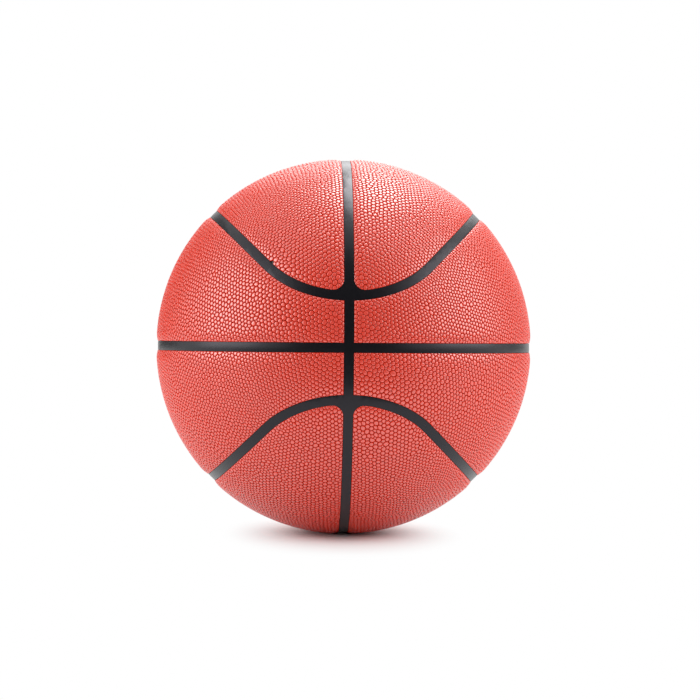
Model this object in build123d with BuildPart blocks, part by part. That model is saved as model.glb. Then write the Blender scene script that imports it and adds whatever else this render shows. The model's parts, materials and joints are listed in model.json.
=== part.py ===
"""Basketball of size 7, built the way a laminated ball is built.

Eight cover panels with rolled edges lie on skived foam backings, in the pockets of a ribbed rubber
carcass. A yarn winding and a bladder lie inside the carcass, and a needle valve sits at the back.
"""

import math
import os

from build123d import *

# Driving sizes in millimetres and degrees
# The ball's centre is the origin, +Z is up and the front of the ball faces -Y.
BALL_RADIUS = 121.0
SEAM_WIDTH = 6.1
SEAM_DEPTH = 1.0
SIDE_TILT = 45.0
ROUND_ANGLE = 30.0

# Layers, from the outside in
COVER_WALL = 1.4
FOAM_EDGE_WALL = 0.35
CARCASS_WALL = 1.3
WINDING_WALL = 0.6
BLADDER_WALL = 0.8
BOND_FILM = 0.2

# Edges and corners
EDGE_DROP = 0.9
EDGE_ROLL = 6.0
ROLL_MIDDLE_SHARE = 0.28
LENS_CORNER_RADIUS = 6.6
BAND_CORNER_RADIUS = 0.7
RIB_EDGE_RADIUS = 0.4

# Valve, in the upper right band panel near the back
VALVE_TURN = 14.0
VALVE_RISE = 9.0
VALVE_HOLE_GAP = 0.3
BOOT_RADIUS = 4.2
BOOT_RECESS = 0.6
BOOT_REACH = 12.0
BOOT_NECK_RADIUS = 6.5
FLANGE_RADIUS = 15.0
FLANGE_WALL = 1.6
FLANGE_RIM_RADIUS = 0.5
PLUG_RADIUS = 2.6
PLUG_HEAD_RADIUS = 3.3
PLUG_HEAD_HEIGHT = 1.0
PLUG_CLEARANCE = 0.08
NEEDLE_RADIUS = 0.95
NEEDLE_MOUTH_RADIUS = 1.7
NEEDLE_MOUTH_DEPTH = 0.7
NEEDLE_DEPTH = 11.0
SLIT_WIDTH = 0.3
SLIT_LENGTH = 2.6

# How far cutting tools reach past what they cut
CUT_MARGIN = 4.0
CUT_TOLERANCE = 0.001
ROLL_LIFT = 0.03
BAND_REACH_ANGLE = 50.0
ROUND_OVERRUN_ANGLE = 15.0
FULL_TURN = 360
HALF_TURN = 180
QUARTER_TURN = 90

# Radii of the layers, from the outside in
rib_top = BALL_RADIUS - SEAM_DEPTH
cover_inner = BALL_RADIUS - COVER_WALL
foam_crown = cover_inner - BOND_FILM
foam_inner = foam_crown - EDGE_DROP - FOAM_EDGE_WALL
carcass_outer = foam_inner - BOND_FILM
carcass_inner = carcass_outer - CARCASS_WALL
winding_outer = carcass_inner - BOND_FILM
winding_inner = winding_outer - WINDING_WALL
bladder_outer = winding_inner - BOND_FILM
bladder_inner = bladder_outer - BLADDER_WALL

# Distances from the middle of a seam, and corner radii of the pockets round the panels
panel_edge = SEAM_WIDTH / 2
rib_edge = panel_edge - BOND_FILM
crown_edge = panel_edge + EDGE_ROLL
lens_pocket_corner = LENS_CORNER_RADIUS + BOND_FILM
band_pocket_corner = BAND_CORNER_RADIUS + BOND_FILM

# Seam layout: every seam is a circle about an axis through the centre. Two great circles cross at the
# front and back. Each saddle seam runs along two tilted great circles, one on each side, and turns from
# one to the other along a small circle that touches both.
CENTRE = Vector(0, 0, 0)
tilt = math.radians(SIDE_TILT)
round_half = math.radians(ROUND_ANGLE)
round_rise = math.asin(math.sin(round_half) / math.sin(tilt))
side_normal = Vector(math.cos(tilt), 0, -math.sin(tilt))
round_axis = Vector(0, -math.cos(round_rise), math.sin(round_rise))
front_join = (round_axis + side_normal * math.sin(round_half)).normalized()
back_join = Vector(front_join.X, -front_join.Y, front_join.Z)
join_normal = round_axis.cross(front_join).normalized()
side_arc = front_join.get_angle(back_join)
round_arc = math.degrees(math.asin(math.cos(tilt) / math.cos(round_half))) + ROUND_OVERRUN_ANGLE

# Section planes of the seams, local x outward through the seam and local y across it
join_plane = Plane(origin=CENTRE, x_dir=front_join, z_dir=join_normal)
back_join_plane = Plane(origin=CENTRE, z_dir=Vector(join_normal.X, -join_normal.Y, join_normal.Z))
upright_plane = Plane(origin=CENTRE, x_dir=(0, -1, 0), z_dir=(0, 0, 1))
level_plane = Plane(origin=CENTRE, x_dir=(0, -1, 0), z_dir=(1, 0, 0))
side_axis = Axis(CENTRE, side_normal * -1)
turn_axis = Axis(CENTRE, round_axis * -1)

# Valve plane, its normal outward along the valve
turn = math.radians(VALVE_TURN)
rise = math.radians(VALVE_RISE)
valve_direction = Vector(
    math.sin(turn) * math.cos(rise),
    math.cos(turn) * math.cos(rise),
    math.sin(rise),
)
valve_plane = Plane(origin=CENTRE, z_dir=valve_direction)
valve_hole_radius = BOOT_RADIUS + VALVE_HOLE_GAP
upward = (Align.CENTER, Align.CENTER, Align.MIN)
downward = (Align.CENTER, Align.CENTER, Align.MAX)

# Heights along the valve, from the centre of the ball
flange_outer = bladder_inner - BOND_FILM
boot_outer = BALL_RADIUS - BOOT_RECESS
boot_inner = bladder_inner - BOOT_REACH
boot_length = boot_outer - boot_inner
neck_height = flange_outer - FLANGE_WALL / 2 - boot_inner
plug_length = boot_length - PLUG_CLEARANCE


def on_sphere(radius, across):
    """Point of a seam section on a sphere, at a distance across from the seam's middle."""
    return (math.sqrt(radius**2 - across**2), across)


def seam_groove(section, axis, arc, crown):
    """Ring along one seam that rolls the panel edges down from the crown radius."""
    shoulder = panel_edge + EDGE_ROLL / 2
    foot_a = on_sphere(crown - EDGE_DROP, -panel_edge)
    foot_b = on_sphere(crown - EDGE_DROP, panel_edge)
    mid_a = on_sphere(crown - EDGE_DROP * ROLL_MIDDLE_SHARE, -shoulder)
    mid_b = on_sphere(crown - EDGE_DROP * ROLL_MIDDLE_SHARE, shoulder)
    top_a = on_sphere(crown + ROLL_LIFT, -crown_edge)
    top_b = on_sphere(crown + ROLL_LIFT, crown_edge)
    out_a = (crown + CUT_MARGIN, -crown_edge)
    out_b = (crown + CUT_MARGIN, crown_edge)
    with BuildPart() as groove:
        with BuildSketch(section):
            with BuildLine():
                Line(foot_a, foot_b)
                ThreePointArc(foot_b, mid_b, top_b)
                Polyline(top_b, out_b, out_a, top_a)
                ThreePointArc(top_a, mid_a, foot_a)
            make_face()
        revolve(axis=axis, revolution_arc=arc)
    return groove.part


def quarter_shell(outer, inner):
    """Quarter of a hollow ball, on the right of the upright seam and above the level seam."""
    with BuildPart() as quarter:
        with BuildSketch(Plane.XY):
            with BuildLine():
                CenterArc(CENTRE, outer, -QUARTER_TURN, HALF_TURN)
                Line((0, outer), (0, inner))
                CenterArc(CENTRE, inner, -QUARTER_TURN, HALF_TURN)
                Line((0, -inner), (0, -outer))
            make_face()
        revolve(axis=Axis.Y, revolution_arc=-QUARTER_TURN)
    return quarter.part


def pillowed_quarter(crown, inner):
    """Quarter of a hollow ball whose outside rolls down at every seam."""
    front_turn = seam_groove(join_plane, turn_axis, round_arc, crown)
    with BuildPart() as quarter:
        add(quarter_shell(crown, inner))
        add(seam_groove(upright_plane, Axis.X, FULL_TURN, crown), mode=Mode.SUBTRACT)
        add(seam_groove(level_plane, Axis.Z, FULL_TURN, crown), mode=Mode.SUBTRACT)
        add(seam_groove(join_plane, side_axis, side_arc, crown), mode=Mode.SUBTRACT)
        add(front_turn, mode=Mode.SUBTRACT)
        add(mirror(front_turn, about=Plane.XZ, mode=Mode.PRIVATE), mode=Mode.SUBTRACT)
    return quarter.part


def turn_wedge(edge, outer, inner, lens):
    """Wedge about the front turn of the saddle seam, on the lens side or the band side of its wall."""
    far = outer + BALL_RADIUS
    slant = -round_half if lens else math.radians(BAND_REACH_ANGLE)
    wall = -edge if lens else edge
    near = (edge / math.tan(round_half), wall) if lens else (0, wall)
    with BuildPart() as wedge:
        with BuildSketch(join_plane):
            Circle(outer)
            Circle(inner, mode=Mode.SUBTRACT)
            with BuildLine():
                Polyline(near, (far, wall), (far * math.cos(slant), far * math.sin(slant)), close=True)
            make_face(mode=Mode.INTERSECT)
        revolve(axis=turn_axis, revolution_arc=round_arc)
    return wedge.part


def panel_sector(edge, outer, inner, lens, corner):
    """Right upper sector of one panel, with its walls at an edge distance from the seams' middles."""
    side = -1 if lens else 1
    turn_part = turn_wedge(edge, outer, inner, lens)
    with BuildPart() as sector:
        add(quarter_shell(outer, inner))
        split(bisect_by=Plane(origin=side_normal * edge * side, z_dir=side_normal * side))
        split(bisect_by=join_plane)
        split(bisect_by=back_join_plane)
        add(turn_part)
        add(mirror(turn_part, about=Plane.XZ, mode=Mode.PRIVATE))
        split(bisect_by=Plane(origin=(edge, 0, 0), z_dir=(1, 0, 0)))
        if not lens:
            split(bisect_by=Plane(origin=(0, 0, edge), z_dir=(0, 0, 1)))
        wall_edges = sector.edges().filter_by_position(Axis.X, edge - CUT_TOLERANCE, edge + CUT_TOLERANCE)
        corners = wall_edges.filter_by(lambda line: line.length < outer - inner + CUT_MARGIN)
        fillet(corners, radius=corner)
    return sector.part


def laid_up(sector, crown, inner, hollow):
    """One panel or backing: a sector of the pillowed layer, hollowed to its underside."""
    with BuildPart() as layer:
        add(pillowed_quarter(crown, inner))
        if hollow:
            add(pillowed_quarter(hollow, inner - CUT_MARGIN), mode=Mode.SUBTRACT)
        add(sector, mode=Mode.INTERSECT)
    return layer.part


def valve_hole(piece):
    """The piece with the valve's hole drilled through its wall."""
    with BuildPart() as drilled:
        add(piece)
        with Locations(valve_plane):
            Cylinder(valve_hole_radius, BALL_RADIUS + CUT_MARGIN, align=upward, mode=Mode.SUBTRACT)
    return drilled.part


def hollow_ball(outer, inner):
    """Thin ball wall with the valve's hole."""
    with BuildPart() as wall:
        Sphere(outer)
        Sphere(inner, mode=Mode.SUBTRACT)
    return valve_hole(wall.part)


def four_ways(piece):
    """The right upper piece, its two mirror images and its half turn about the front axis, by place."""
    return {
        "right_upper": piece,
        "left_upper": mirror(piece, about=Plane.YZ),
        "right_lower": mirror(piece, about=Plane.XY),
        "left_lower": piece.rotate(Axis.Y, HALF_TURN),
    }


# Panels and backings of the right upper quarter
sector_outer = BALL_RADIUS + CUT_MARGIN
sector_inner = foam_inner - CUT_MARGIN
lens_sector = panel_sector(panel_edge, sector_outer, sector_inner, True, LENS_CORNER_RADIUS)
band_sector = panel_sector(panel_edge, sector_outer, sector_inner, False, BAND_CORNER_RADIUS)
lens_panel = laid_up(lens_sector, BALL_RADIUS, foam_inner, cover_inner)
band_panel = laid_up(band_sector, BALL_RADIUS, foam_inner, cover_inner)
lens_backing = laid_up(lens_sector, foam_crown, foam_inner, None)
band_backing = laid_up(band_sector, foam_crown, foam_inner, None)

# Carcass: a hollow ball with a pocket for every panel, which leaves the ribs standing. The poles of its
# spheres lie where the ribs cross at the front and back.
lens_pocket = panel_sector(rib_edge, sector_outer, carcass_outer, True, lens_pocket_corner)
band_pocket = panel_sector(rib_edge, sector_outer, carcass_outer, False, band_pocket_corner)
with BuildPart() as carcass:
    Sphere(rib_top, rotation=(QUARTER_TURN, 0, 0))
    for pocket in (lens_pocket, band_pocket):
        for copy in four_ways(pocket).values():
            add(copy, mode=Mode.SUBTRACT)
    Sphere(carcass_inner, rotation=(QUARTER_TURN, 0, 0), mode=Mode.SUBTRACT)
    rib_walls = carcass.faces().filter_by(GeomType.SPHERE, reverse=True)
    rib_edges = rib_walls.edges().filter_by(
        lambda line: abs(line.center().length - rib_top) < CUT_TOLERANCE
    )
    fillet(rib_edges, radius=RIB_EDGE_RADIUS)
    with Locations(valve_plane):
        Cylinder(valve_hole_radius, BALL_RADIUS, align=upward, mode=Mode.SUBTRACT)

# Valve boot: a sleeve with a flange that is bonded to the inside of the bladder
with BuildPart() as valve_boot:
    Sphere(flange_outer)
    Sphere(flange_outer - FLANGE_WALL, mode=Mode.SUBTRACT)
    with Locations(valve_plane):
        Cylinder(FLANGE_RADIUS, BALL_RADIUS, align=upward, mode=Mode.INTERSECT)
    fillet(valve_boot.edges(), radius=FLANGE_RIM_RADIUS)
    with Locations(valve_plane.offset(boot_inner)):
        Cylinder(BOOT_RADIUS, boot_length, align=upward)
        Cylinder(BOOT_NECK_RADIUS, neck_height, align=upward)
        Cylinder(PLUG_RADIUS + PLUG_CLEARANCE, boot_length, align=upward, mode=Mode.SUBTRACT)
    with Locations(valve_plane.offset(boot_outer)):
        Cylinder(
            PLUG_HEAD_RADIUS + PLUG_CLEARANCE,
            PLUG_HEAD_HEIGHT + PLUG_CLEARANCE,
            align=downward,
            mode=Mode.SUBTRACT,
        )

# Valve plug: a headed plug with a countersunk needle passage that ends in a slit
with BuildPart() as valve_plug:
    with Locations(valve_plane.offset(boot_outer)):
        Cylinder(PLUG_RADIUS, plug_length, align=downward)
        Cylinder(PLUG_HEAD_RADIUS, PLUG_HEAD_HEIGHT, align=downward)
        Cylinder(NEEDLE_RADIUS, NEEDLE_DEPTH, align=downward, mode=Mode.SUBTRACT)
        Cone(
            NEEDLE_RADIUS,
            NEEDLE_MOUTH_RADIUS,
            NEEDLE_MOUTH_DEPTH,
            align=downward,
            mode=Mode.SUBTRACT,
        )
    with Locations(valve_plane.offset(boot_outer - plug_length)):
        Box(SLIT_LENGTH, SLIT_WIDTH, plug_length - NEEDLE_DEPTH, align=upward, mode=Mode.SUBTRACT)

pieces = {
    "carcass": carcass.part,
    "winding": hollow_ball(winding_outer, winding_inner),
    "bladder": hollow_ball(bladder_outer, bladder_inner),
    "valve_boot": valve_boot.part,
    "valve_plug": valve_plug.part,
}
for kind, lens_piece, band_piece in (
    ("cover_panel", lens_panel, band_panel),
    ("foam_backing", lens_backing, band_backing),
):
    lenses = four_ways(lens_piece)
    bands = four_ways(band_piece)
    pieces[f"{kind}_top_right"] = lenses["right_upper"]
    pieces[f"{kind}_top_left"] = lenses["left_upper"]
    pieces[f"{kind}_bottom_right"] = lenses["right_lower"]
    pieces[f"{kind}_bottom_left"] = lenses["left_lower"]
    pieces[f"{kind}_upper_right"] = valve_hole(bands["right_upper"])
    pieces[f"{kind}_upper_left"] = bands["left_upper"]
    pieces[f"{kind}_lower_right"] = bands["right_lower"]
    pieces[f"{kind}_lower_left"] = bands["left_lower"]

os.makedirs("parts", exist_ok=True)
for node, piece in pieces.items():
    piece.label = node
    export_step(piece, f"parts/{node}.step")
    state = "valid" if piece.is_valid else "not valid"
    print(node, round(piece.volume), "mm3,", len(piece.solids()), "solid,", state)
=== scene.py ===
"""Looks of a basketball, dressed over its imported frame.

Lengths are in metres and angles in radians. The ball's centre is the origin, +Z is up and the front of the
ball faces -Y. Panels and ribs are cut out on a unit sphere and laid out at their real radii at the end.
"""

import json
import logging
import math
import random
from collections.abc import Iterable
from dataclasses import dataclass
from enum import Enum, IntEnum

import bmesh
import bpy
import numpy as np
from bmesh.types import BMesh, BMFace
from mathutils import Euler, Matrix, Vector


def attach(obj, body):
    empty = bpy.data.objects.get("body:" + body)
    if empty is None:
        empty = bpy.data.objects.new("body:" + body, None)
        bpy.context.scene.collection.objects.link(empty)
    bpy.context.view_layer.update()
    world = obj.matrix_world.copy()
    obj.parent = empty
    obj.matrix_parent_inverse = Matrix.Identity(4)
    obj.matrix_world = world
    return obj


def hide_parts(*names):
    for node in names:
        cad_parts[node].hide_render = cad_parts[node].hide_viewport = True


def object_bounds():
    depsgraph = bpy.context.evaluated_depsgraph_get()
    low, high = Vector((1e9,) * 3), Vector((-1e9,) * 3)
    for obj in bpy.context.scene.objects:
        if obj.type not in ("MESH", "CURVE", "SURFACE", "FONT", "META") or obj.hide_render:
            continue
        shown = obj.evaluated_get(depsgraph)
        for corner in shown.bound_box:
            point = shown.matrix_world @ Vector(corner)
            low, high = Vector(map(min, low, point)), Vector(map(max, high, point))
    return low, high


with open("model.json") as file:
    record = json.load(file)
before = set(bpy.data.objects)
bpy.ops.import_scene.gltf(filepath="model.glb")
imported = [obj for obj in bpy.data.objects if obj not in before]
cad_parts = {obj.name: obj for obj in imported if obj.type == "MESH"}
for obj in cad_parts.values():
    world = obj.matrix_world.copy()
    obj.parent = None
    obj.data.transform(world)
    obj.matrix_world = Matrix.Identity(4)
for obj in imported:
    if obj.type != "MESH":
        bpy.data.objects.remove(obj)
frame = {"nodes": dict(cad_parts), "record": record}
CAD_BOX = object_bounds()

log = logging.getLogger("basketball")

Colour = tuple[float, float, float, float]

BALL_BODY = "ball"
WHITE: Colour = (1.0, 1.0, 1.0, 1.0)
MATT = 0.9

# Right and left, or up and down, as mirror signs
BOTH_WAYS = (1, -1)

# Names of the numbers that a panel's mesh holds for its finish
GRAIN = "grain"
TONE = "tone"

# Grain of the points on the inner side of a panel, which has no pebbles
INNER_GRAIN = -1.0

# Lengths on the unit sphere: how near to a plane a point counts as on it, and the shortest arm of a pebble
ON_PLANE = 1e-6
SHORTEST_ARM = 1e-9


class PanelKind(Enum):
    """Which side of a saddle seam a cover panel lies on."""

    LENS = "inside the saddle"
    BAND = "between the saddle and the level seam"


class PanelPlace(Enum):
    """The eight cover panels: node ending, kind, side (right is 1) and height (up is 1)."""

    TOP_LEFT = ("top_left", PanelKind.LENS, -1, 1)
    TOP_RIGHT = ("top_right", PanelKind.LENS, 1, 1)
    BOTTOM_LEFT = ("bottom_left", PanelKind.LENS, -1, -1)
    BOTTOM_RIGHT = ("bottom_right", PanelKind.LENS, 1, -1)
    UPPER_LEFT = ("upper_left", PanelKind.BAND, -1, 1)
    UPPER_RIGHT = ("upper_right", PanelKind.BAND, 1, 1)
    LOWER_LEFT = ("lower_left", PanelKind.BAND, -1, -1)
    LOWER_RIGHT = ("lower_right", PanelKind.BAND, 1, -1)

    def __init__(self, ending: str, kind: PanelKind, side: int, height: int) -> None:
        """Keeps the parts of a member's value under their own names.

        Args:
            ending: End of the names of the panel's node and piece.
            kind: Side of the saddle seam that the panel lies on.
            side: 1 on the right of the upright seam and -1 on its left.
            height: 1 above the level seam and -1 below it.
        """
        self.ending = ending
        self.kind = kind
        self.side = side
        self.height = height

    @property
    def node(self) -> str:
        """Name of the frame's node that this panel stands for."""
        return f"cover_panel_{self.ending}"


class End(IntEnum):
    """Ends of the ball where the saddle seams turn, each with its mirror sign."""

    FRONT = 1
    BACK = -1


def centres_of(faces: Iterable[BMFace]) -> np.ndarray:
    """Unit vectors to the middles of some faces, one a row."""
    middles = np.array([face.calc_center_median() for face in faces]).reshape(-1, 3)
    return middles / np.linalg.norm(middles, axis=1, keepdims=True)


def picked(faces: list[BMFace], mask: np.ndarray) -> list[BMFace]:
    """The faces that a mask keeps, in their order."""
    return [face for face, keep in zip(faces, mask) if keep]


def slice_faces(bm: BMesh, faces: list[BMFace], normal: Vector, offset: float) -> None:
    """Cuts some faces along one plane.

    Args:
        bm: Mesh that holds the faces.
        faces: Faces that the plane may cut.
        normal: Normal of the plane.
        offset: Distance of the plane from the ball's centre.
    """
    edges = dict.fromkeys(edge for face in faces for edge in face.edges)
    verts = dict.fromkeys(vert for face in faces for vert in face.verts)
    geometry = [*verts, *edges, *faces]
    bmesh.ops.bisect_plane(bm, geom=geometry, dist=ON_PLANE, plane_co=normal * offset, plane_no=normal)


def thicken(bm: BMesh, inner_scale: float) -> tuple[list[BMFace], list[BMFace]]:
    """Turns an open skin into a closed wall.

    Args:
        bm: Mesh of the skin.
        inner_scale: Scale of the inner side of the wall, about the ball's centre.

    Returns:
        The faces of the outer side and those of the inner side.
    """
    inner = bm.faces[:]
    made = bmesh.ops.extrude_face_region(bm, geom=inner, use_keep_orig=True)["geom"]
    outer = [item for item in made if isinstance(item, BMFace)]
    bmesh.ops.reverse_faces(bm, faces=inner)
    verts = list(dict.fromkeys(vert for face in inner for vert in face.verts))
    bmesh.ops.scale(bm, verts=verts, vec=(inner_scale,) * 3)
    return outer, inner


def finished_piece(name: str, bm: BMesh, material: bpy.types.Material) -> bpy.types.Object:
    """Puts a mesh into the scene as a smooth shaded piece.

    Args:
        name: Name of the piece.
        bm: Mesh of the piece, which is freed.
        material: Finish of the piece.

    Returns:
        The new object, at the origin.
    """
    mesh = bpy.data.meshes.new(name)
    for face in bm.faces:
        face.smooth = True
    bm.to_mesh(mesh)
    bm.free()
    mesh.materials.append(material)
    piece = bpy.data.objects.new(name, mesh)
    bpy.context.scene.collection.objects.link(piece)
    return piece


@dataclass(frozen=True)
class CornerArc:
    """Planes on the unit sphere that round the corner where a turn meets the upright seam."""

    centre: Vector
    to_upright: Vector
    to_turn: Vector
    normals: tuple[Vector, ...]
    offset: float
    zone_share: float = 3.0

    def zone(self, directions: np.ndarray) -> np.ndarray:
        """Tells which directions lie in the quadrant that the arc rounds.

        Args:
            directions: Unit vectors, one a row.

        Returns:
            A mask with one value a row.
        """
        near = directions @ np.array(self.centre) > math.cos(self.zone_share * self.offset)
        upright = directions @ np.array(self.to_upright) > 0
        return near & upright & (directions @ np.array(self.to_turn) > 0)

    def beyond(self, directions: np.ndarray) -> np.ndarray:
        """Tells which directions lie in the quadrant and outside the arc."""
        reach = np.max([directions @ np.array(normal) for normal in self.normals], axis=0)
        return self.zone(directions) & (reach > self.offset)

    def cut(self, bm: BMesh) -> None:
        """Cuts the faces of the quadrant along the arc.

        Args:
            bm: Mesh on the unit sphere.
        """
        for normal in self.normals:
            faces = bm.faces[:]
            slice_faces(bm, picked(faces, self.zone(centres_of(faces))), normal, self.offset)


@dataclass(frozen=True)
class SeamLayout:
    """Where the seams run and how the panels roll down to them.

    Every seam is a circle about an axis through the centre: two great circles cross at the front and back,
    and each saddle seam runs along tilted great circles and turns along small circles that touch them.
    """

    crown_radius: float
    rib_top: float
    seam_width: float = 0.0061
    bond_gap: float = 0.0002
    edge_drop: float = 0.0009
    edge_roll: float = 0.006
    roll_middle_share: float = 0.28
    roll_blend: int = 6
    corner_radius: float = 0.0066
    corner_cuts: int = 7
    side_tilt: float = math.radians(45)
    round_half: float = math.radians(30)

    @property
    def rib_edge(self) -> float:
        """Distance of a rib's wall from the middle of its seam."""
        return self.panel_edge - self.bond_gap

    @property
    def panel_edge(self) -> float:
        """Distance of a panel's wall from the middle of a seam."""
        return self.seam_width / 2

    @property
    def round_rise(self) -> float:
        """Height angle of the axis that the upper front turn goes round."""
        return math.asin(math.sin(self.round_half) / math.sin(self.side_tilt))

    @property
    def round_axis(self) -> Vector:
        """Axis of the upper front turn of the saddle seam."""
        return Vector((0, -math.cos(self.round_rise), math.sin(self.round_rise)))

    @property
    def side_normal(self) -> Vector:
        """Normal of the right upper run of the saddle seam, towards the band panel."""
        return Vector((math.cos(self.side_tilt), 0, -math.sin(self.side_tilt)))

    @property
    def join_normal(self) -> Vector:
        """Normal of the plane where the front turn joins the right side run, away from the front."""
        touch = (self.round_axis + self.side_normal * math.sin(self.round_half)).normalized()
        return self.round_axis.cross(touch).normalized()

    def folded(self, directions: np.ndarray) -> np.ndarray:
        """Directions mirrored into the right upper front eighth of the ball."""
        return np.abs(directions) * (1, -1, 1)

    def in_turn(self, directions: np.ndarray) -> np.ndarray:
        """Tells which directions lie where the saddle seam turns."""
        return self.folded(directions) @ np.array(self.join_normal) < 0

    def saddle_offset(self, directions: np.ndarray) -> np.ndarray:
        """Distance from the middle of the saddle seam.

        Args:
            directions: Unit vectors, one a row.

        Returns:
            One distance a row, positive on the band's side.
        """
        folded = self.folded(directions)
        polar = np.arccos(np.clip(folded @ np.array(self.round_axis), -1, 1))
        side = folded @ np.array(self.side_normal)
        return self.crown_radius * np.where(self.in_turn(directions), np.sin(polar - self.round_half), side)

    def offsets(self, directions: np.ndarray) -> tuple[np.ndarray, np.ndarray, np.ndarray]:
        """Distances from the middles of the seams.

        Args:
            directions: Unit vectors, one a row.

        Returns:
            The distances from the upright seam, the level seam and, with its sign, the saddle seam.
        """
        upright = self.crown_radius * np.abs(directions[:, 0])
        level = self.crown_radius * np.abs(directions[:, 2])
        return upright, level, self.saddle_offset(directions)

    def surface_drop(self, directions: np.ndarray) -> np.ndarray:
        """How far the rolled edges lie below the crown, with the rolls of two seams blended at corners.

        Args:
            directions: Unit vectors, one a row.

        Returns:
            One distance a row, on a parabola through the middle share half way along the roll.
        """
        bow = 2 - 4 * self.roll_middle_share
        total = np.zeros(len(directions))
        for offset in self.offsets(directions):
            share = np.clip((np.abs(offset) - self.panel_edge) / self.edge_roll, 0, 1)
            total += ((1 - share) * (1 - bow * share)) ** self.roll_blend
        return self.edge_drop * np.clip(total ** (1 / self.roll_blend), 0, 1)

    def corner_arc(self, edge: float, radius: float, signs: Vector) -> CornerArc:
        """Arc that rounds a lens corner between the upright seam and a turn.

        Args:
            edge: Distance of the corner's walls from the middles of their seams.
            radius: Radius of the rounded corner.
            signs: Mirror signs of the corner; (1, 1, 1) is the right upper front one.

        Returns:
            The arc's planes on the unit sphere.
        """
        inset = (edge + radius) / self.crown_radius
        polar = self.round_half - math.asin(inset)
        across = math.asin(inset / math.sin(polar))
        down = Vector((0, -math.sin(self.round_rise), -math.cos(self.round_rise)))
        lean = down * math.cos(across) + Vector((math.sin(across), 0, 0))
        centre = self.round_axis * math.cos(polar) + lean * math.sin(polar)
        to_turn = lean * math.cos(polar) - self.round_axis * math.sin(polar)
        to_upright = (centre * centre.x - Vector((1, 0, 0))).normalized()
        steps = [(i + 0.5) / self.corner_cuts for i in range(self.corner_cuts)]
        normals = [to_upright.slerp(to_turn, step) for step in steps]
        return CornerArc(
            centre * signs,
            to_upright * signs,
            to_turn * signs,
            tuple(normal * signs for normal in normals),
            radius / self.crown_radius,
        )


@dataclass(frozen=True)
class ValveHole:
    """Round hole of the valve in the panel and the carcass, as a ring of short straight sides."""

    direction: Vector
    radius: float = 0.0045
    sides: int = 24
    rim_reach: float = 0.0016
    rim_sides: float = 1.5

    def normals(self) -> list[Vector]:
        """Directions across the hole.

        Returns:
            One direction for each side.
        """
        first = self.direction.orthogonal().normalized()
        second = self.direction.cross(first)
        turns = [math.tau * i / self.sides for i in range(self.sides)]
        return [first * math.cos(turn) + second * math.sin(turn) for turn in turns]

    def at_rim(self, directions: np.ndarray, normal: Vector, scale: float) -> np.ndarray:
        """Tells which directions lie near one side of the hole.

        Args:
            directions: Unit vectors, one a row.
            normal: Direction across the hole to the side.
            scale: Radius of the sphere that the hole is in.

        Returns:
            A mask with one value a row.
        """
        ahead = directions @ np.array(self.direction)
        across = np.sqrt(np.clip(1 - ahead**2, 0, 1))
        near = (ahead > 0) & (across * scale < self.radius + self.rim_reach)
        spread = math.cos(self.rim_sides * math.tau / self.sides)
        return near & (directions @ np.array(normal) > across * spread)

    def inside(self, directions: np.ndarray, scale: float) -> np.ndarray:
        """Tells which directions lie in the hole.

        Args:
            directions: Unit vectors, one a row.
            scale: Radius of the sphere that the hole is in.

        Returns:
            A mask with one value a row.
        """
        reach = np.max([directions @ np.array(normal) for normal in self.normals()], axis=0)
        ahead = directions @ np.array(self.direction) > 0
        return ahead & (reach * scale < self.radius)


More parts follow.
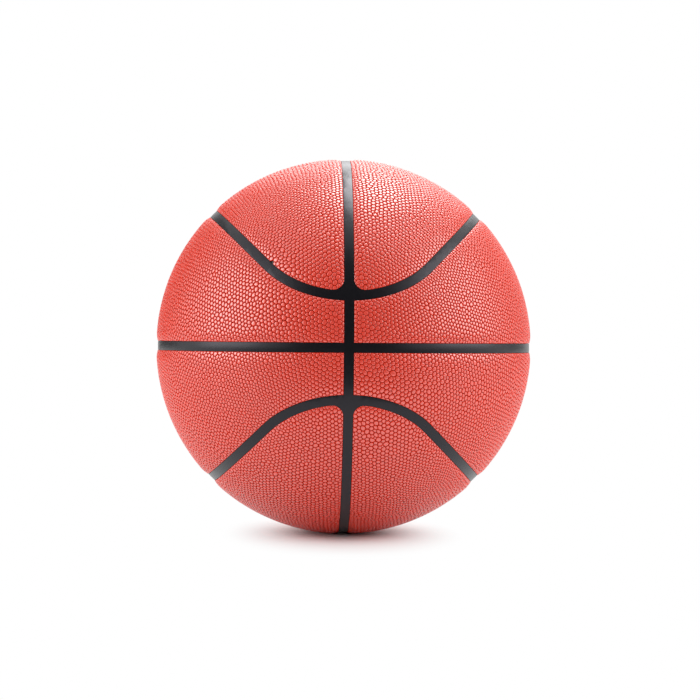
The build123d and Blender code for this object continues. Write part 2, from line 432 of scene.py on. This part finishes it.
class ShaderGraph:
    """Node tree of one material, with short calls to add and join nodes."""

    def __init__(self, name: str) -> None:
        """Starts a material that holds a shader and its output.

        Args:
            name: Name of the material.
        """
        self.material = bpy.data.materials.new(name)
        self.material.use_nodes = True
        self.tree = self.material.node_tree
        self.shader = self.tree.nodes["Principled BSDF"]

    def add(self, kind: str, **sockets: object) -> bpy.types.ShaderNode:
        """Adds a node and fills its input sockets.

        Args:
            kind: Node type, without its ShaderNode prefix.
            **sockets: A value or an output socket for each input, with underscores for spaces.

        Returns:
            The new node.
        """
        node = self.tree.nodes.new("ShaderNode" + kind)
        for key, value in sockets.items():
            self.set(node.inputs[key.replace("_", " ")], value)
        return node

    def work(self, kind: str, operation: str, *values: object) -> bpy.types.NodeSocket:
        """Adds a node that works on numbers or vectors.

        Args:
            kind: Node type, without its ShaderNode prefix.
            operation: What the node does with its inputs.
            *values: A value or an output socket for each input, in their order.

        Returns:
            The output that holds the result.
        """
        node = self.add(kind)
        node.operation = operation
        for socket, value in zip(node.inputs, values):
            self.set(socket, value)
        return next(socket for socket in node.outputs if socket.enabled)

    def set(self, socket: bpy.types.NodeSocket, value: object) -> None:
        """Gives an input socket a value or a link.

        Args:
            socket: The input.
            value: The value, or the output socket to link from.
        """
        if isinstance(value, bpy.types.NodeSocket):
            self.tree.links.new(value, socket)
        else:
            socket.default_value = value

    def dress(self, **sockets: object) -> None:
        """Fills input sockets of the shader itself."""
        for key, value in sockets.items():
            self.set(self.shader.inputs[key.replace("_", " ")], value)

    def place(self) -> bpy.types.NodeSocket:
        """Position on the piece, in metres."""
        return self.add("TexCoord").outputs["Object"]

    def attribute(self, name: str) -> bpy.types.NodeSocket:
        """Number that the mesh holds at each point.

        Args:
            name: Name of the number.

        Returns:
            The output that holds it.
        """
        node = self.add("Attribute")
        node.attribute_name = name
        return node.outputs["Fac"]

    def noise(self, scale: float, detail: float = 3.0) -> bpy.types.NodeSocket:
        """Soft noise with a number of blots a metre."""
        return self.add("TexNoise", Vector=self.place(), Scale=scale, Detail=detail).outputs["Fac"]

    def span(self, value: bpy.types.NodeSocket, low: float, high: float) -> bpy.types.NodeSocket:
        """Number from 0 to 1 stretched between two ends."""
        return self.add("MapRange", Value=value, To_Min=low, To_Max=high).outputs["Result"]

    def smooth_step(self, value: bpy.types.NodeSocket, low: float, high: float) -> bpy.types.NodeSocket:
        """Number that rises softly from 0 to 1.

        Args:
            value: Number that it follows.
            low: Value where it starts to rise.
            high: Value where it is 1.

        Returns:
            The output that holds it.
        """
        node = self.add("MapRange", Value=value, From_Min=low, From_Max=high)
        node.interpolation_type = "SMOOTHSTEP"
        return node.outputs["Result"]

    def mix(self, share: object, first: object, second: object) -> bpy.types.NodeSocket:
        """Blend of two colours.

        Args:
            share: Share of the second colour.
            first: Colour at a share of 0.
            second: Colour at a share of 1.

        Returns:
            The output that holds the blend.
        """
        node = self.add("Mix")
        node.data_type = "RGBA"
        sockets = {"Factor_Float": share, "A_Color": first, "B_Color": second}
        for identifier, value in sockets.items():
            self.set(next(s for s in node.inputs if s.identifier == identifier), value)
        return next(s for s in node.outputs if s.identifier == "Result_Color")

    def bump(self, height: bpy.types.NodeSocket, distance: float, strength: float) -> bpy.types.NodeSocket:
        """Normal that follows a small relief."""
        return self.add("Bump", Height=height, Distance=distance, Strength=strength).outputs["Normal"]


def srgb(red: int, green: int, blue: int) -> Colour:
    """Linear colour of an sRGB value.

    Args:
        red: Red, from 0 to 255.
        green: Green, from 0 to 255.
        blue: Blue, from 0 to 255.

    Returns:
        The colour with full opacity.
    """
    shares = [channel / 255 for channel in (red, green, blue)]
    linear = [s / 12.92 if s <= 0.04045 else ((s + 0.055) / 1.055) ** 2.4 for s in shares]
    return (*linear, 1.0)


@dataclass(frozen=True)
class CoverFinish:
    """Pebbled composite leather: pale crowns with a satin gloss, and painted shade darkening the deep
    valleys, whose gloss fades out as well.
    """

    crown: Colour = srgb(230, 64, 42)
    shade: Colour = srgb(221, 57, 37)
    # Painted shade: the dark red that the valleys between the pebbles take, where the grooves lie in shade
    painted_valley_shade: Colour = srgb(88, 9, 7)
    drift_scale: float = 30.0
    drift_span: tuple[float, float] = (0.2, 0.8)
    tone_span: tuple[float, float] = (0.0, 0.3)
    # Grain heights over which the painted valley shade gives way to the pebble's own colour
    valley_shade_ramp: tuple[float, float] = (0.14, 0.72)
    shine: tuple[float, float] = (0.7, 0.98)
    ior: float = 1.76
    roughness: tuple[float, float] = (0.2, 0.27)
    roughness_scale: float = 900.0
    pore_scale: float = 2600.0
    pore_depth: float = 0.00003
    pore_strength: float = 0.25

    def material(self) -> bpy.types.Material:
        """Builds the finish from the mesh's grain and tone, with painted shade in the valleys.

        Returns:
            The new material.
        """
        graph = ShaderGraph("cover_leather")
        drift = graph.span(graph.noise(self.drift_scale), *self.drift_span)
        cover = graph.mix(drift, self.crown, self.shade)
        tone = graph.span(graph.attribute(TONE), *self.tone_span)
        pebble = graph.mix(tone, cover, self.shade)
        grain = graph.attribute(GRAIN)
        pores = graph.noise(self.pore_scale)
        # Painted shade: the base colour darkens into the valleys, where the grooves are shaded, and the
        # gloss fades out there in place of their shaded reflections
        graph.dress(
            Base_Color=graph.mix(graph.smooth_step(grain, *self.valley_shade_ramp), self.painted_valley_shade, pebble),
            Roughness=graph.span(graph.noise(self.roughness_scale), *self.roughness),
            Normal=graph.bump(pores, self.pore_depth, self.pore_strength),
            IOR=self.ior,
            Specular_IOR_Level=graph.smooth_step(grain, *self.shine),
        )
        return graph.material


@dataclass(frozen=True)
class RubberFinish:
    """Moulded rubber with a fine matt tooth."""

    name: str
    colour: Colour
    worn: Colour
    roughness: tuple[float, float]
    specular: float = 0.35
    tint: Colour = WHITE
    drift_scale: float = 45.0
    roughness_scale: float = 300.0
    tooth_scale: float = 1500.0
    tooth_depth: float = 0.00004
    tooth_strength: float = 0.4

    def material(self) -> bpy.types.Material:
        """Builds the finish from noise on the piece.

        Returns:
            The new material.
        """
        graph = ShaderGraph(self.name)
        tooth = graph.noise(self.tooth_scale)
        graph.dress(
            Base_Color=graph.mix(graph.noise(self.drift_scale), self.colour, self.worn),
            Roughness=graph.span(graph.noise(self.roughness_scale), *self.roughness),
            Normal=graph.bump(tooth, self.tooth_depth, self.tooth_strength),
            Specular_IOR_Level=self.specular,
            Specular_Tint=self.tint,
        )
        return graph.material


@dataclass(frozen=True)
class YarnFinish:
    """Wound nylon yarn under a skin of latex."""

    light: Colour = srgb(222, 216, 200)
    dark: Colour = srgb(176, 168, 148)
    thread: float = 0.0004
    bands_a_thread: float = 0.3
    waver: float = 2.0
    roughness: tuple[float, float] = (0.8, 0.65)
    relief_strength: float = 0.3

    def material(self) -> bpy.types.Material:
        """Builds the finish from wavering bands of thread.

        Returns:
            The new material.
        """
        graph = ShaderGraph("wound_yarn")
        scale = self.bands_a_thread / self.thread
        bands = graph.add("TexWave", Vector=graph.place(), Scale=scale, Distortion=self.waver).outputs["Fac"]
        graph.dress(
            Base_Color=graph.mix(bands, self.dark, self.light),
            Roughness=graph.span(bands, *self.roughness),
            Normal=graph.bump(bands, self.thread, self.relief_strength),
        )
        return graph.material


RIB_RUBBER = RubberFinish(
    "rib_rubber", srgb(12, 12, 15), srgb(18, 18, 22), (0.28, 0.33), 0.45, (0.95, 0.9, 1.0, 1.0)
)
SPONGE = RubberFinish("sponge_backing", srgb(150, 148, 144), srgb(128, 126, 122), (0.8, 0.95))
BUTYL = RubberFinish("bladder_butyl", srgb(34, 34, 36), srgb(46, 46, 48), (0.4, 0.55))
VALVE_RUBBER = RubberFinish("valve_rubber", srgb(24, 24, 26), srgb(38, 38, 40), (0.4, 0.55))


@dataclass(frozen=True)
class GrainSheet:
    """Pebble cells spread over the whole unit sphere, one face a pebble."""

    coarse_levels: int = 4
    cuts: int = 6
    lean: float = 0.42
    flip_share: float = 0.05
    jitter_share: float = 0.36
    relax_rounds: int = 2
    relax_factor: float = 0.5
    seed: int = 7

    def spread(self) -> BMesh:
        """Builds the cells.

        Returns:
            A mesh of irregular cells with five to eight sides.
        """
        chance = random.Random(self.seed)
        bm = bmesh.new()
        bmesh.ops.create_icosphere(bm, subdivisions=self.coarse_levels, radius=1.0)
        bmesh.ops.rotate(bm, verts=bm.verts[:], matrix=Euler((0, self.lean, 0)).to_matrix())
        bmesh.ops.subdivide_edges(bm, edges=bm.edges[:], cuts=self.cuts, use_grid_fill=True)
        self.settle(bm)
        flips = [edge for edge in bm.edges if chance.random() < self.flip_share]
        bmesh.ops.rotate_edges(bm, edges=flips, use_ccw=False)
        pitch = math.sqrt(4 * math.pi / len(bm.verts))
        for vert in bm.verts:
            shift = Vector([chance.uniform(-1, 1) for _ in range(3)])
            vert.co += shift * pitch * self.jitter_share
        axes = {"use_axis_x": True, "use_axis_y": True, "use_axis_z": True}
        for _ in range(self.relax_rounds):
            bmesh.ops.smooth_vert(bm, verts=bm.verts[:], factor=self.relax_factor, **axes)
            self.settle(bm)
        self.swap_corners_for_cells(bm)
        self.settle(bm)
        return bm

    @staticmethod
    def settle(bm: BMesh) -> None:
        """Moves every point straight onto the unit sphere."""
        for vert in bm.verts:
            vert.co.normalize()

    @staticmethod
    def swap_corners_for_cells(bm: BMesh) -> None:
        """Turns a net of triangles into one of cells, with a cell about each old corner.

        Args:
            bm: Mesh of triangles.
        """
        corners = bm.verts[:]
        sides = bm.edges[:]
        bmesh.ops.poke(bm, faces=bm.faces[:])
        bmesh.ops.rotate_edges(bm, edges=sides, use_ccw=False)
        bmesh.ops.dissolve_verts(bm, verts=corners)


@dataclass(frozen=True)
class PebbleRing:
    """One ring of a pebble.

    Its reach is a share of the cell's, its height a share of the grain's depth, and its round limit the
    longest reach of a corner as a share of the mean reach.
    """

    reach: float
    height: float
    round_limit: float


@dataclass
class CoverPanel:
    """One pebbled cover panel with rolled edges."""

    place: PanelPlace
    layout: SeamLayout
    valve: ValveHole
    material: bpy.types.Material
    wall: float = 0.0014
    spare: float = 0.003
    crown_lift: float = 0.00005
    grain_depth: float = 0.0005
    height_spread: float = 0.00006
    rings: tuple[PebbleRing, ...] = (
        PebbleRing(0.92, 0.4, 1.3),
        PebbleRing(0.77, 0.82, 1.2),
        PebbleRing(0.42, 1.0, 1.1),
    )
    rim_height: float = 0.6
    weld: float = 0.00014

    def build(self, cells: BMesh) -> bpy.types.Object:
        """Cuts the panel out of the sheet of pebble cells, raises its pebbles and lays it on the ball.

        Args:
            cells: Sheet of pebble cells over the whole unit sphere.

        Returns:
            The finished panel.
        """
        bm = self.cut_out(cells)
        outer, inner = thicken(bm, 1 - self.wall / self.layout.crown_radius)
        self.mark_rims(bm, outer, inner)
        self.raise_pebbles(bm, outer, inner)
        bmesh.ops.recalc_face_normals(bm, faces=bm.faces[:])
        piece = finished_piece(f"pebbled_{self.place.ending}", bm, self.material)
        self.lay_out(piece.data)
        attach(piece, BALL_BODY)
        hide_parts(self.place.node)
        return piece

    def signs(self, end: End) -> Vector:
        """Mirror signs of this panel's front or back half."""
        return Vector((self.place.side, end, self.place.height))

    def corner_arcs(self) -> list[CornerArc]:
        """Rounded corners of the panel.

        Returns:
            Two arcs for a lens panel and none for a band panel.
        """
        if self.place.kind is PanelKind.BAND:
            return []
        radius = self.layout.corner_radius
        edge = self.layout.panel_edge
        return [self.layout.corner_arc(edge, radius, self.signs(end)) for end in End]

    def has_valve(self) -> bool:
        """Tells whether the valve goes through this panel."""
        return self.place is PanelPlace.UPPER_RIGHT

    def belongs(self, directions: np.ndarray, edge: float) -> np.ndarray:
        """Tells which directions lie in the panel.

        Args:
            directions: Unit vectors, one a row.
            edge: Distance of the panel's walls from the middles of their seams.

        Returns:
            A mask with one value a row.
        """
        upright, level, saddle = self.layout.offsets(directions)
        on_side = directions[:, 0] * self.place.side > 0
        at_height = directions[:, 2] * self.place.height > 0
        lens = self.place.kind is PanelKind.LENS
        past_saddle = saddle < -edge if lens else saddle > edge
        return on_side & at_height & (upright > edge) & (level > edge) & past_saddle

    def cut_out(self, cells: BMesh) -> BMesh:
        """Copies the panel's cells and trims them along its walls, corners and valve hole.

        Args:
            cells: Sheet of pebble cells over the whole unit sphere.

        Returns:
            The panel's outer skin on the unit sphere.
        """
        edge = self.layout.panel_edge
        bm = cells.copy()
        faces = bm.faces[:]
        outside = picked(faces, ~self.belongs(centres_of(faces), edge - self.spare))
        bmesh.ops.delete(bm, geom=outside, context="FACES")
        reach = edge / self.layout.crown_radius
        slice_faces(bm, bm.faces[:], Vector((self.place.side, 0, 0)), reach)
        if self.place.kind is PanelKind.BAND:
            slice_faces(bm, bm.faces[:], Vector((0, 0, self.place.height)), reach)
        self.cut_saddle(bm, reach)
        for arc in self.corner_arcs():
            arc.cut(bm)
        if self.has_valve():
            self.cut_valve_hole(bm)
        self.trim(bm)
        return bm

    def cut_saddle(self, bm: BMesh, reach: float) -> None:
        """Cuts along the side run and the two turns of the saddle seam.

        Args:
            bm: Mesh of the panel's cells.
            reach: Distance of the cut from the middle of the seam, on the unit sphere.
        """
        layout = self.layout
        inward = -1 if self.place.kind is PanelKind.LENS else 1
        faces = bm.faces[:]
        runs = picked(faces, ~layout.in_turn(centres_of(faces)))
        slice_faces(bm, runs, layout.side_normal * self.signs(End.FRONT), inward * reach)
        polar = layout.round_half + inward * math.asin(reach)
        for end in End:
            faces = bm.faces[:]
            middles = centres_of(faces)
            at_end = layout.in_turn(middles) & (middles[:, 1] * end < 0)
            slice_faces(bm, picked(faces, at_end), layout.round_axis * self.signs(end), math.cos(polar))

    def cut_valve_hole(self, bm: BMesh) -> None:
        """Cuts round the valve, through the cells at its rim alone.

        Args:
            bm: Mesh of the panel's cells.
        """
        scale = self.layout.crown_radius
        for normal in self.valve.normals():
            faces = bm.faces[:]
            rim = self.valve.at_rim(centres_of(faces), normal, scale)
            slice_faces(bm, picked(faces, rim), normal, self.valve.radius / scale)

    def trim(self, bm: BMesh) -> None:
        """Deletes what lies outside the panel's walls and welds slivers.

        Args:
            bm: Mesh of the panel's cells.
        """
        faces = bm.faces[:]
        middles = centres_of(faces)
        outside = ~self.belongs(middles, self.layout.panel_edge)
        for arc in self.corner_arcs():
            outside |= arc.beyond(middles)
        if self.has_valve():
            outside |= self.valve.inside(middles, self.layout.crown_radius)
        bmesh.ops.delete(bm, geom=picked(faces, outside), context="FACES")
        weld = self.weld / self.layout.crown_radius
        bmesh.ops.remove_doubles(bm, verts=bm.verts[:], dist=weld)
        bmesh.ops.dissolve_degenerate(bm, dist=weld, edges=bm.edges[:])

    @staticmethod
    def mark_rims(bm: BMesh, outer: list[BMFace], inner: list[BMFace]) -> None:
        """Keeps the edges round the panel's two sides sharp.

        Args:
            bm: Mesh of the panel.
            outer: Faces of the outer side.
            inner: Faces of the inner side.
        """
        walls = set(bm.faces) - set(outer) - set(inner)
        for edge in bm.edges:
            sides = [face in walls for face in edge.link_faces]
            edge.smooth = all(sides) or not any(sides)

    def raise_pebbles(self, bm: BMesh, outer: list[BMFace], inner: list[BMFace]) -> None:
        """Draws rings into every cell of the outer side, and keeps each point's height and tone.

        Args:
            bm: Mesh of the panel.
            outer: Faces of the outer side, one a pebble.
            inner: Faces of the inner side, which stay plain.
        """
        chance = random.Random(self.place.ending)
        grain = bm.verts.layers.float.new(GRAIN)
        tone = bm.verts.layers.float.new(TONE)
        for face in inner:
            for vert in face.verts:
                vert[grain] = INNER_GRAIN
        rims = [edge for edge in bm.edges if not edge.smooth]
        for vert in dict.fromkeys(vert for edge in rims for vert in edge.verts):
            if vert[grain] != INNER_GRAIN:
                vert[grain] = self.rim_height
        shades = [chance.random() for _ in outer]
        reach = 1.0
        for ring in self.rings:
            bmesh.ops.inset_individual(bm, faces=outer, thickness=0.0)
            for face, shade in zip(outer, shades):
                self.draw_in(face, ring.reach / reach, ring.round_limit)
                for vert in face.verts:
                    vert[grain] = ring.height
                    vert[tone] = shade
            reach = ring.reach

    @staticmethod
    def draw_in(face: BMFace, share: float, round_limit: float) -> None:
        """Draws a pebble's ring in towards its middle, and far corners in towards a circle.

        Args:
            face: Face inside the ring.
            share: Size of the ring, as a share of the one before it.
            round_limit: Longest reach of a corner, as a share of the mean reach.
        """
        middle = face.calc_center_median()
        arms = [vert.co - middle for vert in face.verts]
        limit = round_limit * sum(arm.length for arm in arms) / len(arms)
        for vert, arm in zip(face.verts, arms):
            vert.co = middle + arm * share * min(1.0, limit / max(arm.length, SHORTEST_ARM))

    def lay_out(self, mesh: bpy.types.Mesh) -> None:
        """Moves the panel's points from the unit sphere to their real radii.

        Args:
            mesh: Mesh of the panel, with the grain and tone of its points.
        """
        count = len(mesh.vertices)
        places = np.empty(count * 3, np.float32)
        grain = np.empty(count, np.float32)
        tone = np.empty(count, np.float32)
        mesh.vertices.foreach_get("co", places)
        mesh.attributes[GRAIN].data.foreach_get("value", grain)
        mesh.attributes[TONE].data.foreach_get("value", tone)
        places = places.reshape(-1, 3).astype(float)
        directions = places / np.linalg.norm(places, axis=1, keepdims=True)
        base = self.layout.crown_radius - self.layout.surface_drop(directions)
        unevenness = self.height_spread * grain * (tone - 0.5)
        relief = self.crown_lift - self.grain_depth * (1 - grain) + unevenness
        radius = base + np.where(grain < 0, -self.wall, relief)
        mesh.vertices.foreach_set("co", (directions * radius[:, None]).astype(np.float32).ravel())
        mesh.update()


@dataclass
class Carcass:
    """Moulded rubber shell with the ribs that fill the seams."""

    layout: SeamLayout
    valve: ValveHole
    material: bpy.types.Material
    levels: int = 6
    outer_radius: float = 0.11795
    inner_radius: float = 0.11665
    edge_radius: float = 0.0004
    edge_segments: int = 3
    drill_share: float = 3.0
    unit_weld: float = 0.0001

    def build(self) -> bpy.types.Object:
        """Builds the shell, raises its ribs and rounds their edges.

        Returns:
            The finished carcass.
        """
        bm = bmesh.new()
        bmesh.ops.create_icosphere(bm, subdivisions=self.levels, radius=1.0)
        self.cut_ribs(bm)
        self.drill(bm)
        bmesh.ops.remove_doubles(bm, verts=bm.verts[:], dist=self.unit_weld)
        outer, _ = thicken(bm, self.inner_radius / self.outer_radius)
        bmesh.ops.scale(bm, verts=bm.verts[:], vec=(self.outer_radius,) * 3)
        self.raise_ribs(bm, outer)
        bmesh.ops.recalc_face_normals(bm, faces=bm.faces[:])
        piece = finished_piece("ribbed_carcass", bm, self.material)
        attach(piece, BALL_BODY)
        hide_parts("carcass")
        return piece

    def corner_arcs(self) -> list[CornerArc]:
        """Rounded corners where the turns meet the upright seam.

        Returns:
            The eight arcs, one in each eighth of the ball.
        """
        layout = self.layout
        eighths = [Vector((x, y, z)) for x in BOTH_WAYS for y in End for z in BOTH_WAYS]
        radius = layout.corner_radius + layout.bond_gap
        return [layout.corner_arc(layout.rib_edge, radius, signs) for signs in eighths]

    def cut_ribs(self, bm: BMesh) -> None:
        """Cuts the skin along both walls of every rib.

        Args:
            bm: Skin on the unit sphere.
        """
        layout = self.layout
        reach = layout.rib_edge / layout.crown_radius
        for side in BOTH_WAYS:
            slice_faces(bm, bm.faces[:], Vector((side, 0, 0)), reach)
            slice_faces(bm, bm.faces[:], Vector((0, 0, side)), reach)
            for wall in BOTH_WAYS:
                slice_faces(bm, bm.faces[:], layout.side_normal * Vector((side, 1, 1)), wall * reach)
                polar = layout.round_half + wall * math.asin(reach)
                for end in End:
                    axis = layout.round_axis * Vector((1, end, side))
                    slice_faces(bm, bm.faces[:], axis, math.cos(polar))
        for arc in self.corner_arcs():
            arc.cut(bm)

    def drill(self, bm: BMesh) -> None:
        """Cuts the valve's hole.

        Args:
            bm: Skin on the unit sphere.
        """
        scale = self.outer_radius
        near = math.cos(self.drill_share * self.valve.radius / scale)
        for normal in self.valve.normals():
            faces = bm.faces[:]
            ahead = centres_of(faces) @ np.array(self.valve.direction) > near
            slice_faces(bm, picked(faces, ahead), normal, self.valve.radius / scale)
        faces = bm.faces[:]
        hole = picked(faces, self.valve.inside(centres_of(faces), scale))
        bmesh.ops.delete(bm, geom=hole, context="FACES")

    def on_rib(self, directions: np.ndarray) -> np.ndarray:
        """Tells which directions lie on a rib.

        Args:
            directions: Unit vectors, one a row.

        Returns:
            A mask with one value a row.
        """
        upright, level, saddle = self.layout.offsets(directions)
        nearest = np.minimum(np.minimum(upright, level), np.abs(saddle))
        ribs = nearest < self.layout.rib_edge
        for arc in self.corner_arcs():
            ribs |= arc.beyond(directions) & (saddle < 0)
        return ribs

    def raise_ribs(self, bm: BMesh, outer: list[BMFace]) -> None:
        """Extrudes the ribs to their tops and rounds their edges.

        Args:
            bm: Mesh of the shell.
            outer: Faces of its outer side.
        """
        ribs = picked(outer, self.on_rib(centres_of(outer)))
        made = bmesh.ops.extrude_face_region(bm, geom=ribs)["geom"]
        tops = {item for item in made if isinstance(item, BMFace)}
        verts = list(dict.fromkeys(vert for face in tops for vert in face.verts))
        bmesh.ops.scale(bm, verts=verts, vec=(self.layout.rib_top / self.outer_radius,) * 3)
        rims = [edge for edge in bm.edges if sum(face in tops for face in edge.link_faces) == 1]
        bmesh.ops.bevel(
            bm,
            geom=rims,
            offset=self.edge_radius,
            offset_type="OFFSET",
            affect="EDGES",
            segments=self.edge_segments,
            profile=0.5,
            material=-1,
            clamp_overlap=True,
        )


@dataclass
class HiddenLayers:
    """Layers inside the ball and the valve, which keep the frame's own solids."""

    finishes: dict[str, bpy.types.Material]

    def dress(self) -> list[bpy.types.Object]:
        """Gives each node whose name starts with a key its finish.

        Returns:
            The dressed nodes.
        """
        dressed = []
        for start, material in self.finishes.items():
            for name, node in sorted(frame["nodes"].items()):
                if name.startswith(start):
                    node.data.materials.clear()
                    node.data.materials.append(material)
                    dressed.append(node)
        return dressed


@dataclass(frozen=True)
class Softbox:
    """Soft light with a rectangular front, aimed at the ball."""

    name: str
    place: tuple[float, float, float]
    size: tuple[float, float]
    power: float

    def hang(self) -> None:
        """Hangs the light in the scene."""
        light = bpy.data.lights.new(self.name, "AREA")
        light.shape = "RECTANGLE"
        light.size, light.size_y = self.size
        light.energy = self.power
        lamp = bpy.data.objects.new(self.name, light)
        lamp.location = self.place
        lamp.rotation_euler = (-lamp.location).to_track_quat("-Z", "Y").to_euler()
        bpy.context.scene.collection.objects.link(lamp)


@dataclass(frozen=True)
class Flag:
    """Dark panel that only reflections show, in place of the white surroundings."""

    name: str
    place: tuple[float, float, float]
    facing: tuple[float, float, float]
    size: tuple[float, float]
    tone: float

    def stand(self) -> None:
        """Stands the panel in the scene."""
        bm = bmesh.new()
        bmesh.ops.create_grid(bm, x_segments=1, y_segments=1, size=0.5)
        bmesh.ops.scale(bm, verts=bm.verts[:], vec=(*self.size, 1))
        turn = Vector(self.facing).to_track_quat("Z", "Y").to_matrix()
        bmesh.ops.rotate(bm, verts=bm.verts[:], matrix=turn)
        bmesh.ops.translate(bm, verts=bm.verts[:], vec=self.place)
        graph = ShaderGraph(f"{self.name}_cloth")
        graph.dress(Base_Color=(self.tone, self.tone, self.tone, 1.0), Roughness=MATT)
        panel = finished_piece(self.name, bm, graph.material)
        panel.visible_camera = False
        panel.visible_diffuse = False
        panel.visible_shadow = False


@dataclass(frozen=True)
class Studio:
    """Plain white floor and surroundings, soft lights, dark flags round the set, and the camera."""

    floor_height: float
    camera_distance: float = 1.452
    camera_nod: float = math.radians(0.369)
    camera_roll: float = math.radians(0.430)
    camera_turn: float = math.radians(1.6)
    lens: float = 115.1
    sensor_width: float = 36.0
    shift: tuple[float, float] = (0.0093, -0.005)
    floor_size: float = 12.0
    floor_colour: Colour = (0.88, 0.88, 0.88, 1.0)
    shadow_reach: tuple[float, float] = (0.035, 0.175)
    shadow_shape: tuple[float, float, float] = (2.2, 1.0, 0.0)
    surround: float = 0.72
    softboxes: tuple[Softbox, ...] = (
        Softbox("top", (0.2, 0.36, 1.18), (0.6, 0.78), 9.7),
        Softbox("back", (0.12, 0.96, 0.78), (0.9, 0.5), 3.3),
        Softbox("left", (-1.05, -0.3, 0.36), (0.8, 0.8), 4.9),
        Softbox("right", (0.98, -0.24, 0.46), (0.8, 0.8), 4.6),
    )
    flags: tuple[Flag, ...] = (
        Flag("front_flag", (0, -1.9, 1.68), (0, 1, 0), (2.7, 3.6), 0.06),
        Flag("foot_flag", (0, -1.11, -0.12), (0, 0, 1), (2.7, 1.58), 0.06),
        Flag("left_flag", (-0.85, 0.95, 0.4), (0.85, -0.95, -0.4), (0.9, 1.0), 0.2),
        Flag("right_flag", (0.96, 0.74, 0.3), (-0.96, -0.74, -0.3), (0.7, 0.8), 0.4),
    )

    def build(self) -> None:
        """Sets the whole stage."""
        self.lay_floor()
        self.light_surround()
        for softbox in self.softboxes:
            softbox.hang()
        for flag in self.flags:
            flag.stand()
        self.place_camera()
        bpy.context.scene.view_settings.view_transform = "Standard"

    def lay_floor(self) -> None:
        """Lays a pale floor under the ball that fades into the white surroundings."""
        bm = bmesh.new()
        bmesh.ops.create_grid(bm, x_segments=2, y_segments=2, size=self.floor_size / 2)
        bmesh.ops.translate(bm, verts=bm.verts[:], vec=(0, 0, self.floor_height))
        graph = ShaderGraph("studio_floor")
        floor = finished_piece("floor", bm, graph.material)
        graph.dress(Base_Color=self.floor_colour, Roughness=MATT)
        flat = graph.work("VectorMath", "MULTIPLY", graph.place(), self.shadow_shape)
        distance = graph.work("VectorMath", "LENGTH", flat)
        fade = graph.smooth_step(distance, *self.shadow_reach)
        share = graph.work("Math", "MULTIPLY", fade, seen_rays(graph.tree))
        white = graph.add("Emission", Color=WHITE, Strength=1.0)
        blend = graph.add("MixShader")
        layers = (share, graph.shader.outputs[0], white.outputs[0])
        for socket, layer in zip(blend.inputs, layers):
            graph.set(socket, layer)
        graph.set(graph.tree.nodes["Material Output"].inputs["Surface"], blend.outputs[0])

    def light_surround(self) -> None:
        """Lights the ball from white surroundings, which look pure white themselves."""
        world = bpy.data.worlds.new("studio")
        world.use_nodes = True
        bpy.context.scene.world = world
        tree = world.node_tree
        span = tree.nodes.new("ShaderNodeMapRange")
        tree.links.new(seen_rays(tree), span.inputs["Value"])
        span.inputs["To Min"].default_value = self.surround
        span.inputs["To Max"].default_value = 1.0
        background = tree.nodes["Background"]
        background.inputs["Color"].default_value = WHITE
        tree.links.new(span.outputs["Result"], background.inputs["Strength"])

    def place_camera(self) -> None:
        """Places the camera in front of the ball."""
        data = bpy.data.cameras.new("camera")
        data.lens = self.lens
        data.sensor_width = self.sensor_width
        data.shift_x, data.shift_y = self.shift
        camera = bpy.data.objects.new("camera", data)
        turned = Euler((self.camera_nod, self.camera_roll, self.camera_turn)).to_matrix().to_4x4()
        level = Euler((math.pi / 2, 0, 0)).to_matrix().to_4x4()
        camera.matrix_world = turned.transposed() @ Matrix.Translation((0, -self.camera_distance, 0)) @ level
        bpy.context.scene.collection.objects.link(camera)
        bpy.context.scene.camera = camera


def seen_rays(tree: bpy.types.NodeTree) -> bpy.types.NodeSocket:
    """Number that is 1 for camera, glossy and transmission rays and 0 for the others.

    Args:
        tree: Node tree of a material or a world.

    Returns:
        The output that holds the number.
    """
    path = tree.nodes.new("ShaderNodeLightPath")
    total = path.outputs["Is Camera Ray"]
    for ray in ("Is Glossy Ray", "Is Transmission Ray"):
        most = tree.nodes.new("ShaderNodeMath")
        most.operation = "MAXIMUM"
        tree.links.new(total, most.inputs[0])
        tree.links.new(path.outputs[ray], most.inputs[1])
        total = most.outputs[0]
    return total


def reach_of(node: str) -> float:
    """Largest distance of a node's points from the ball's centre."""
    return max(vert.co.length for vert in frame["nodes"][node].data.vertices)


def main() -> None:
    """Builds the ball's pieces in order and sets the stage."""
    logging.basicConfig(level=logging.INFO, format="%(message)s")
    layout = SeamLayout(reach_of(PanelPlace.UPPER_LEFT.node), reach_of("carcass"))
    port = next(mount for mount in frame["record"]["mounts"] if mount["name"] == "needle_port")
    valve = ValveHole(Vector(port["axis"]).normalized())
    cover = CoverFinish().material()
    cells = GrainSheet().spread()
    for place in PanelPlace:
        panel = CoverPanel(place, layout, valve, cover).build(cells)
        log.info("%s: %d faces", panel.name, len(panel.data.polygons))
    cells.free()
    carcass = Carcass(layout, valve, RIB_RUBBER.material()).build()
    log.info("%s: %d faces", carcass.name, len(carcass.data.polygons))
    layers = HiddenLayers(
        {
            "foam_backing_": SPONGE.material(),
            "winding": YarnFinish().material(),
            "bladder": BUTYL.material(),
            "valve_": VALVE_RUBBER.material(),
        }
    )
    for node in layers.dress():
        log.info("%s: dressed", node.name)
    Studio(floor_height=CAD_BOX[0].z).build()


if __name__ == "__main__":
    main()
